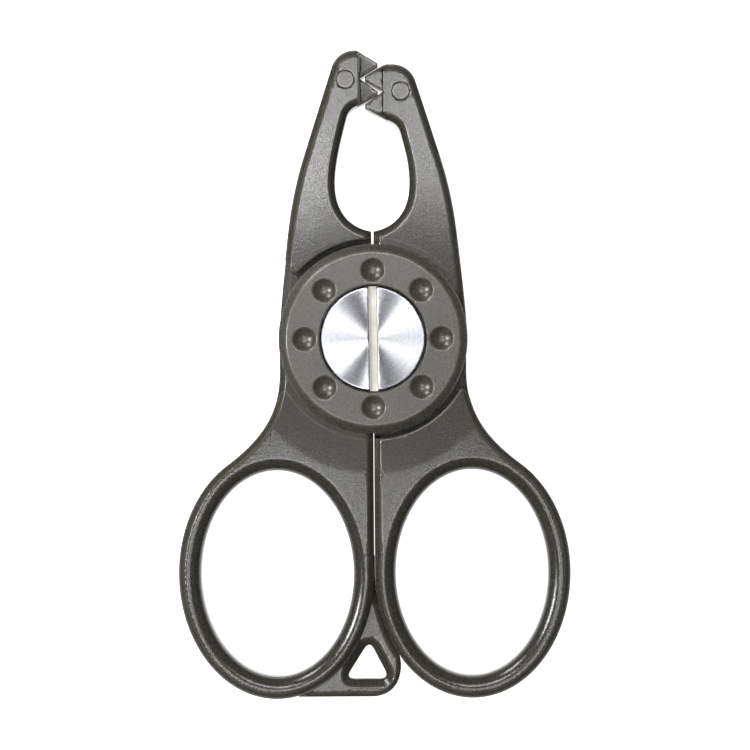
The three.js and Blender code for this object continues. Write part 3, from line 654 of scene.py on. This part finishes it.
def tooth_plate(name, own, tip_y):
    root = SEAM_X - SEAM_GAP / 2
    first, second = TOOTH_DROPS
    corners = [
        (root, 0), (-TOOTH_TIP_X, first - TOOTH_TIP_HALF), (-TOOTH_TIP_X, first + TOOTH_TIP_HALF),
        (SEAM_X - NOTCH_DEPTH_X, NOTCH_DROP), (-TOOTH_TIP_X, second - TOOTH_TIP_HALF),
        (-TOOTH_TIP_X, second + TOOTH_TIP_HALF), (root, PLATE_DROP),
    ]
    corners = [(x, tip_y - drop) for x, drop in corners]
    runs = [straight(a, b, 0.35) for a, b in zip(corners, corners[1:] + corners[:1])]
    outline = joined(*runs)
    small, small_depth = 0.16, 0.14

    teeth = outline[(outline[:, 0] < root - 1e-3) | (np.arange(len(outline)) == 0)]
    teeth = np.concatenate([teeth, xy((root, tip_y - PLATE_DROP))])

    def height_of(label, p):
        d = distance(p, teeth, closed=False)
        top_drop = bevel_drop(tip_y - p[:, 1], EDGE_BEVEL, EDGE_BEVEL_DEPTH)
        low_drop = bevel_drop(p[:, 1] - (tip_y - PLATE_DROP), EDGE_BEVEL, EDGE_BEVEL_DEPTH)
        small_drop = bevel_drop(d, small, small_depth, 0.06)
        half = half_thickness(p)
        upper = MID_Z + half - np.maximum(np.maximum(top_drop, low_drop), small_drop)
        lean = PLATE_LEAN * (tip_y - p[:, 1]) if own == "rear" else 0
        lower = MID_Z - PLATE_OVERLAP + small_drop + lean
        if label == 1:
            return np.full(len(p), MID_Z + TONGUE_HALF), np.full(len(p), MID_Z - TONGUE_HALF), 0 * d
        return upper, lower, crease_highlight(d, small)

    rows = (tip_y - EDGE_BEVEL, tip_y - PLATE_DROP + EDGE_BEVEL)
    bevel_lines = [straight((-1.5, y + dy), (root, y + dy), 0.3)
                   for y in rows for dy in (-CREASE, 0, CREASE)]
    free = [offset_rows(outline, (0.05, 0.1, small, 0.24)), grid((-2, tip_y - 11), (3, tip_y), 0.6)]
    low_y = tip_y - PLATE_DROP
    tongue = xy((root - 0.4, low_y + 0.3), (root + TONGUE_REACH, low_y + 0.3),
                (root + TONGUE_REACH, tip_y - 0.2), (root - 0.4, tip_y - 0.2))

    def label_of(p):
        return np.where(inside(p, outline), 0, np.where(inside(p, tongue), 1, -1))

    return relief(name, [outline, tongue], free + bevel_lines, label_of, height_of,
                  flip=own == "rear")


def tooth_pin(name, own, pin):
    rim = circle((0, 0), PIN_R, 0.22)
    round_r = 0.1

    def height_of(label, p):
        d = PIN_R - np.hypot(p[:, 0], p[:, 1])
        t = np.clip(1 - d / round_r, 0, 1)
        half = half_thickness(p + pin) - 0.03 - round_r * (1 - np.sqrt(1 - 0.99 * t ** 2))
        return MID_Z + half, MID_Z - half, crease_highlight(d, round_r)

    free = [offset_rows(rim, (0.02, 0.05, round_r, 0.25, 0.6, 1.1)), xy((0, 0))]
    return relief(name, [rim], free, lambda p: np.where(inside(p, rim), 0, -1), height_of,
                  flip=own == "rear", origin=pin)


def cap(name, own):
    """A raised ring with shallow round dimples, pressed on to the hub."""
    outer = circle((0, 0), HUB_R, 0.4)
    bore = circle((0, 0), CAP_BORE_R, 0.4)
    base = MID_Z + HALF + CAP_SEAT
    face = base + CAP_THICK
    centres = [outward(90 + 360 * i / DIMPLE_COUNT, DIMPLE_CIRCLE_R) for i in range(DIMPLE_COUNT)]
    ball_r = (DIMPLE_R ** 2 + DIMPLE_DEPTH ** 2) / (2 * DIMPLE_DEPTH)
    rim = 0.16
    rows = (0.3, 0.7, 1.1, 1.45, 1.75, 1.95, DIMPLE_R - rim, DIMPLE_R - 0.07, DIMPLE_R,
            DIMPLE_R + 0.07, DIMPLE_R + rim, DIMPLE_R + 0.3)
    free = [
        offset_rows(outer, CAP_ROWS),
        offset_rows(bore, (0.05, 0.1, 0.2, 0.3, 0.5), -1),
    ]
    level = grid((-HUB_R, -HUB_R), (HUB_R, HUB_R), 1.1)
    r = np.hypot(level[:, 0], level[:, 1])
    level = level[(r < HUB_R - CAP_BEVEL - 0.5) & (r > CAP_BORE_R + 0.6)]
    for centre in centres:
        level = level[np.hypot(level[:, 0] - centre[0], level[:, 1] - centre[1]) > DIMPLE_R + 0.5]
    free.append(level)
    for centre in centres:
        free.append(xy(centre))
        free += [circle(centre, r, 0.33 if r > 1 else 0.3) for r in rows]

    def height_of(label, p):
        r = np.hypot(p[:, 0], p[:, 1])
        drop = np.maximum(bevel_drop(HUB_R - r, CAP_BEVEL, CAP_BEVEL_DEPTH),
                          bevel_drop(r - CAP_BORE_R, 0.18, 0.16, 0.05))
        painted_highlight = crease_highlight(HUB_R - r, CAP_BEVEL)
        for centre in centres:
            d = np.hypot(p[:, 0] - centre[0], p[:, 1] - centre[1])
            ball = DIMPLE_DEPTH - (ball_r - np.sqrt(np.clip(ball_r ** 2 - d ** 2, 0, None)))
            edge_slope = DIMPLE_R / (ball_r - DIMPLE_DEPTH)
            soft = edge_slope * (DIMPLE_R + rim - d) ** 2 / (4 * rim)
            dip = np.where(d > DIMPLE_R + rim, 0, np.where(d < DIMPLE_R - rim, ball, soft))
            drop = np.maximum(drop, dip)
            # Painted highlight round each dimple's rim.
            painted_highlight = np.maximum(painted_highlight, 0.8 * crease_highlight(d, DIMPLE_R))
        return face - drop, np.full(len(p), base), painted_highlight

    def label_of(p):
        return np.where(inside(p, outer) & ~inside(p, bore), 0, -1)

    return relief(name, [outer, bore], free, label_of, height_of, flip=own == "rear")


def head(name, own, slot_turn):
    """A broad turned head with a chamfered rim; the screw's has a coin slot across it."""
    outer = circle((0, 0), HEAD_R, 0.3)
    far = HEAD_R + 1
    half = SLOT_WIDTH / 2
    turn = math.radians(slot_turn)
    spin = np.array([[math.cos(turn), math.sin(turn)], [-math.sin(turn), math.cos(turn)]])
    walls = joined(
        straight((-half, -far), (half, -far)), straight((half, -far), (half, far), 0.5),
        straight((half, far), (-half, far)), straight((-half, far), (-half, -far), 0.5),
    ) @ spin
    low = TOP_Z - HEAD_THICK
    lip = 0.06
    rows = (0.04, 0.1, HEAD_CHAMFER - 0.07, HEAD_CHAMFER, HEAD_CHAMFER + 0.07, HEAD_CHAMFER + 0.25)
    level = grid((-HEAD_R, -HEAD_R), (HEAD_R, HEAD_R), 0.9)
    level = level[np.hypot(level[:, 0], level[:, 1]) < HEAD_R - HEAD_CHAMFER - 0.5]
    loops = [outer]
    slotted = own == "front"
    if slotted:
        level = level[distance(level, walls) > 0.5]
    free = [offset_rows(outer, rows), level]
    if slotted:
        loops.append(walls)
        free += [offset_rows(walls, (0.03, lip, 0.14, 0.3), -1), offset_rows(walls, (0.1, 0.3))]

    def label_of(p):
        label = np.where(inside(p, outer), 0, -1)
        if slotted:
            label[(label == 0) & inside(p, walls)] = 1
        return label

    def height_of(label, p):
        r = np.hypot(p[:, 0], p[:, 1])
        drop = bevel_drop(HEAD_R - r, HEAD_CHAMFER, HEAD_CHAMFER, 0.06)
        d = distance(p, walls) if slotted else np.full(len(p), 9.0)
        if label == 1:
            fillet = 0.12 * np.clip(1 - d / 0.12, 0, 1) ** 2
            return np.full(len(p), TOP_Z - SLOT_DEPTH) + fillet, np.full(len(p), low), 0 * d
        if slotted:
            drop = np.maximum(drop, bevel_drop(d, lip, lip, 0.03))
        dish = 0.05 * np.clip(1 - r / 1.2, 0, 1) ** 2  # the turning tool's centre mark
        return TOP_Z - drop - dish, np.full(len(p), low), crease_highlight(HEAD_R - r, HEAD_CHAMFER)

    return relief(name, loops, free, label_of, height_of, flip=own == "rear", second=1)


def shank(name, corners, segments=64):
    """The hidden turned part under a head, from [radius, z] corners."""
    co, faces = [], []
    for r, zz in corners:
        for k in range(segments):
            a = 2 * math.pi * k / segments
            co.append((r * math.cos(a) * MM, r * math.sin(a) * MM, zz * MM))
    count = len(corners)
    for i in range(count - 1):
        for k in range(segments):
            n = (k + 1) % segments
            low, high = i * segments, (i + 1) * segments
            faces.append([low + k, low + n, high + n, high + k])
    faces.append([k for k in reversed(range(segments))])
    faces.append([(count - 1) * segments + k for k in range(segments)])
    return mesh_object(name, co, faces)


# ---------------------------------------------------------------- materials
def node(tree, kind, inputs=None, **settings):
    made = tree.nodes.new(kind)
    for key, value in settings.items():
        setattr(made, key, value)
    for key, value in (inputs or {}).items():
        if isinstance(value, bpy.types.NodeSocket):
            tree.links.new(value, made.inputs[key])
        else:
            made.inputs[key].default_value = value
    return made


def ramp(tree, factor, *stops):
    made = node(tree, "ShaderNodeValToRGB", {"Fac": factor})
    elements = made.color_ramp.elements
    while len(elements) < len(stops):
        elements.new(0.5)
    for element, (place, colour) in zip(elements, stops):
        element.position = place
        element.color = (*colour, 1) if hasattr(colour, "__len__") else (colour, colour, colour, 1)
    return made.outputs["Color"]


def maths(tree, operation, a, b=0.0, clamp=False):
    made = node(tree, "ShaderNodeMath", {0: a, 1: b}, operation=operation, use_clamp=clamp)
    return made.outputs[0]


def mixed(tree, factor, a, b, blend="MIX"):
    made = node(tree, "ShaderNodeMix", data_type="RGBA", blend_type=blend)
    for index, value in ((0, factor), (6, a), (7, b)):
        if isinstance(value, bpy.types.NodeSocket):
            tree.links.new(value, made.inputs[index])
        else:
            made.inputs[index].default_value = value
    return made.outputs[2]


def fresh(name):
    material = bpy.data.materials.new(name)
    material.use_nodes = True
    tree = material.node_tree
    shader = tree.nodes["Principled BSDF"]
    place = node(tree, "ShaderNodeTexCoord").outputs["Object"]
    return material, tree, shader, place


def noise(tree, place, scale, detail=2.0, roughness=0.5, output="Fac"):
    made = node(tree, "ShaderNodeTexNoise",
                {"Vector": place, "Scale": scale, "Detail": detail, "Roughness": roughness})
    return made.outputs[output]


def scaled(colour, by):
    return tuple(min(1, c * by) for c in colour)


def moulded_plastic(name, base, rough=0.17, grain=1.0, highlight_level=2.6, specular=0.5):
    """Satin moulded plastic: a fine eroded mould texture, faint flow clouds, and a painted pale
    highlight along the bevel creases, a little glossier there.
    """
    material, tree, shader, place = fresh(name)
    clouds = noise(tree, place, 130, 3, 0.6)
    fleck = noise(tree, place, 3600, 2, 0.6)
    grit = noise(tree, place, 1900, 4, 0.7)
    tone = ramp(tree, clouds, (0.3, scaled(base, 0.95)), (0.7, scaled(base, 1.05)))
    flecked = ramp(tree, fleck, (0.30, 0.5), (0.5, 1.0), (0.70, 1.7))
    tone = mixed(tree, 1.0, tone, flecked, "MULTIPLY")
    # Painted highlight: the crease lines of bevels and dimple rims are lightened in patches, to several
    # times the base colour.
    painted_highlight = node(tree, "ShaderNodeAttribute", attribute_name="painted_highlight").outputs["Fac"]
    patches = ramp(tree, noise(tree, place, 420, 3), (0.35, 0.55), (0.65, 1.0))
    patchy_highlight = maths(tree, "MULTIPLY", painted_highlight, patches)
    tone = mixed(tree, patchy_highlight, tone, (*scaled(base, highlight_level), 1))
    tree.links.new(tone, shader.inputs["Base Color"])
    rough_map = ramp(tree, grit, (0.3, rough - 0.05), (0.7, rough + 0.06))
    half_highlight = maths(tree, "MULTIPLY", patchy_highlight, 0.5)
    rough_map = mixed(tree, half_highlight, rough_map, (rough - 0.1,) * 3 + (1,))
    tree.links.new(rough_map, shader.inputs["Roughness"])
    shader.inputs["Specular IOR Level"].default_value = specular
    strength = 0.9 * grain
    coarse = node(tree, "ShaderNodeBump",
                  {"Height": grit, "Strength": strength, "Distance": 0.000016})
    fine = node(tree, "ShaderNodeBump",
                {"Height": fleck, "Strength": strength, "Distance": 0.000011,
                 "Normal": coarse.outputs["Normal"]})
    tree.links.new(fine.outputs["Normal"], shader.inputs["Normal"])
    return material


def turned_metal(name, base, rough, anisotropy):
    """Metal faced on a lathe: uneven fine rings about the pivot axis."""
    material, tree, shader, place = fresh(name)
    split = node(tree, "ShaderNodeSeparateXYZ", {"Vector": place})
    x, y = split.outputs["X"], split.outputs["Y"]
    squares = (maths(tree, "MULTIPLY", x, x), maths(tree, "MULTIPLY", y, y))
    r = maths(tree, "SQRT", maths(tree, "ADD", *squares))
    groove = node(tree, "ShaderNodeTexNoise",
                  {"W": r, "Scale": 1900.0, "Detail": 2.0, "Roughness": 0.6},
                  noise_dimensions="1D").outputs["Fac"]
    speck = noise(tree, place, 2600, 3, 0.7)
    tone = ramp(tree, groove, (0.3, scaled(base, 0.95)), (0.7, scaled(base, 1.05)))
    tone = mixed(tree, 1.0, tone, ramp(tree, speck, (0.3, 0.76), (0.7, 1.2)), "MULTIPLY")
    tree.links.new(tone, shader.inputs["Base Color"])
    shader.inputs["Metallic"].default_value = 1.0
    rough_map = ramp(tree, speck, (0.3, rough - 0.03), (0.7, rough + 0.03))
    tree.links.new(rough_map, shader.inputs["Roughness"])
    shader.inputs["Anisotropic"].default_value = anisotropy
    tangent = node(tree, "ShaderNodeTangent", direction_type="RADIAL", axis="Z")
    tree.links.new(tangent.outputs["Tangent"], shader.inputs["Tangent"])
    bump = node(tree, "ShaderNodeBump", {"Height": speck, "Strength": 0.6, "Distance": 0.00001})
    tree.links.new(bump.outputs["Normal"], shader.inputs["Normal"])
    return material


def plain_worn(name, base, rough, metallic=0.0, scale=2600):
    """The small inner parts: bronze, acetal, washer steel and rubber."""
    material, tree, shader, place = fresh(name)
    grit = noise(tree, place, scale, 4, 0.6)
    clouds = noise(tree, place, 260, 2)
    tone = ramp(tree, clouds, (0.3, scaled(base, 0.85)), (0.7, scaled(base, 1.1)))
    tone = mixed(tree, 1.0, tone, ramp(tree, grit, (0.3, 0.85), (0.7, 1.1)), "MULTIPLY")
    tree.links.new(tone, shader.inputs["Base Color"])
    rough_map = ramp(tree, grit, (0.3, rough - 0.08), (0.7, rough + 0.08))
    tree.links.new(rough_map, shader.inputs["Roughness"])
    shader.inputs["Metallic"].default_value = metallic
    bump = node(tree, "ShaderNodeBump", {"Height": grit, "Strength": 0.3, "Distance": 0.00002})
    tree.links.new(bump.outputs["Normal"], shader.inputs["Normal"])
    return material


OLIVE = (0.050, 0.047, 0.039)
MATERIALS = {
    "olive_plastic": moulded_plastic("olive_plastic", OLIVE),
    "tooth_plastic": moulded_plastic("tooth_plastic", scaled(OLIVE, 1.1), 0.18, 1.0),
    "pin_plastic": moulded_plastic("pin_plastic", scaled(OLIVE, 1.3), 0.19, 1.3),
    "cap_plastic": moulded_plastic("cap_plastic", scaled(OLIVE, 1.45), 0.29, 0.8, specular=0.75),
    "turned_steel": turned_metal("turned_steel", (0.62, 0.63, 0.67), 0.34, 1.0),
    "milled_steel": plain_worn("milled_steel", (0.62, 0.60, 0.56), 0.55, 1.0, 1700),
    "bush_bronze": plain_worn("bush_bronze", (0.43, 0.26, 0.10), 0.4, 1.0),
    "acetal": plain_worn("acetal", (0.72, 0.70, 0.64), 0.45),
    "washer_steel": plain_worn("washer_steel", (0.48, 0.49, 0.50), 0.32, 1.0),
    "o_ring_rubber": plain_worn("o_ring_rubber", (0.02, 0.02, 0.019), 0.55),
}

# ---------------------------------------------------------------- camera, first of the scene
CAMERA_LENS, CAMERA_ROLL = 116.5, -0.4
CAMERA_AT = (0.31, -6.72, 460)  # mm, straight above
camera_data = bpy.data.cameras.new("camera")
camera_data.lens = CAMERA_LENS
camera_data.sensor_width = 36.0
camera = bpy.data.objects.new("camera", camera_data)
camera.location = [c * MM for c in CAMERA_AT]
camera.rotation_euler = (0, 0, math.radians(CAMERA_ROLL))
camera_data.clip_start = 0.01
bpy.context.scene.collection.objects.link(camera)
bpy.context.scene.camera = camera

# ---------------------------------------------------------------- the object
TIP_FRONT = JAW_REACH - JAW_STAGGER
PIN_REAR = (SEAM_X + REAR_PIN_INSET, JAW_REACH - REAR_PIN_DROP)
PIN_FRONT = (SEAM_X + FRONT_PIN_INSET, TIP_FRONT - FRONT_PIN_DROP)


def place(obj, body, slot, *nodes):
    obj.data.materials.append(MATERIALS[slot])
    if slot == "turned_steel":
        obj.data.materials.append(MATERIALS["milled_steel"])
    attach(obj, body)
    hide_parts(*nodes)
    return obj


place(lever("rear_lever_moulding", "rear", JAW_REACH, PIN_REAR, False),
      "rear_assembly", "olive_plastic", "rear_lever")
place(lever("front_lever_moulding", "front", TIP_FRONT, PIN_FRONT, True),
      "front_assembly", "olive_plastic", "front_lever")
place(tooth_plate("left_teeth", "rear", JAW_REACH),
      "rear_assembly", "tooth_plastic", "left_tooth_plate")
place(tooth_plate("right_teeth", "front", TIP_FRONT),
      "front_assembly", "tooth_plastic", "right_tooth_plate")
place(tooth_pin("left_pin", "rear", PIN_REAR), "rear_assembly", "pin_plastic", "left_tooth_pin")
place(tooth_pin("right_pin", "front", PIN_FRONT),
      "front_assembly", "pin_plastic", "right_tooth_pin")
place(cap("front_hub_cap", "front"), "front_assembly", "cap_plastic", "front_cap")
place(cap("rear_hub_cap", "rear"), "rear_assembly", "cap_plastic", "rear_cap")
place(head("screw_head", "front", 0.6), "screw_assembly", "turned_steel", "pivot_screw")
place(head("nut_head", "rear", 0.0), "rear_assembly", "turned_steel", "pivot_nut")
shank_corners = ((SHANK_R - SHANK_CHAMFER, SHANK_LOW), (SHANK_R, SHANK_LOW + SHANK_CHAMFER),
                 (SHANK_R, TOP_Z - HEAD_THICK))
place(shank("screw_shank", shank_corners), "screw_assembly", "turned_steel", "pivot_screw")

SLOT_OF = {
    "pivot_bush": "bush_bronze",
    "hub_washer": "acetal",
    "front_washer": "washer_steel",
    "rear_washer": "washer_steel",
    "wave_washer": "washer_steel",
    "screw_o_ring": "o_ring_rubber",
}
for name, slot in SLOT_OF.items():
    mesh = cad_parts[name].data
    mesh.materials.clear()
    mesh.materials.append(MATERIALS[slot])

# ---------------------------------------------------------------- floor and light
FLOOR_REACH = 3.0
floor_corners = [(x * FLOOR_REACH, y * FLOOR_REACH, 0) for x, y in ((-1, -1), (1, -1), (1, 1), (-1, 1))]
floor_mesh = bpy.data.meshes.new("floor")
floor_mesh.from_pydata(floor_corners, [], [(0, 1, 2, 3)])
floor = bpy.data.objects.new("floor", floor_mesh)
bpy.context.scene.collection.objects.link(floor)
floor_material = bpy.data.materials.new("floor_white")
floor_material.use_nodes = True
floor_shader = floor_material.node_tree.nodes["Principled BSDF"]
floor_shader.inputs["Base Color"].default_value = (0.9, 0.9, 0.9, 1)
floor_shader.inputs["Roughness"].default_value = 0.9
floor_shader.inputs["Specular IOR Level"].default_value = 0.0
floor_shader.inputs["Emission Color"].default_value = (1, 1, 1, 1)
floor_shader.inputs["Emission Strength"].default_value = 1.0
floor_mesh.materials.append(floor_material)


def softbox(name, where, size, power):
    data = bpy.data.lights.new(name, "AREA")
    data.shape = "DISK"
    data.size = size
    data.energy = power
    obj = bpy.data.objects.new(name, data)
    obj.location = where
    obj.rotation_euler = (-Vector(where)).to_track_quat("-Z", "Y").to_euler()
    bpy.context.scene.collection.objects.link(obj)
    return obj


# name, degrees from the vertical, degrees round from +X, diameter in m, power in W
LIGHT_REACH = 0.9  # m from the pivot
LIGHTS = (
    ("key_left", 36, 178, 0.20, 3.8),
    ("key_high_left", 50, 130, 0.24, 2.5),
    ("overhead_upper_left", 13, 117, 0.13, 1.0),
    ("overhead_upper_right", 14, 68, 0.13, 0.72),
    ("overhead_lower_left", 12, 238, 0.13, 0.58),
    ("overhead_lower_right", 12, 296, 0.13, 0.44),
)
for name, tilt, round_from_x, size, power in LIGHTS:
    level = LIGHT_REACH * math.sin(math.radians(tilt))
    height = LIGHT_REACH * math.cos(math.radians(tilt))
    softbox(name, (*outward(round_from_x, level), height), size, power)

world = bpy.data.worlds.new("studio")
world.use_nodes = True
world.node_tree.nodes["Background"].inputs["Color"].default_value = (1, 1, 1, 1)
world.node_tree.nodes["Background"].inputs["Strength"].default_value = 0.01
bpy.context.scene.world = world
bpy.context.scene.view_settings.view_transform = "Standard"
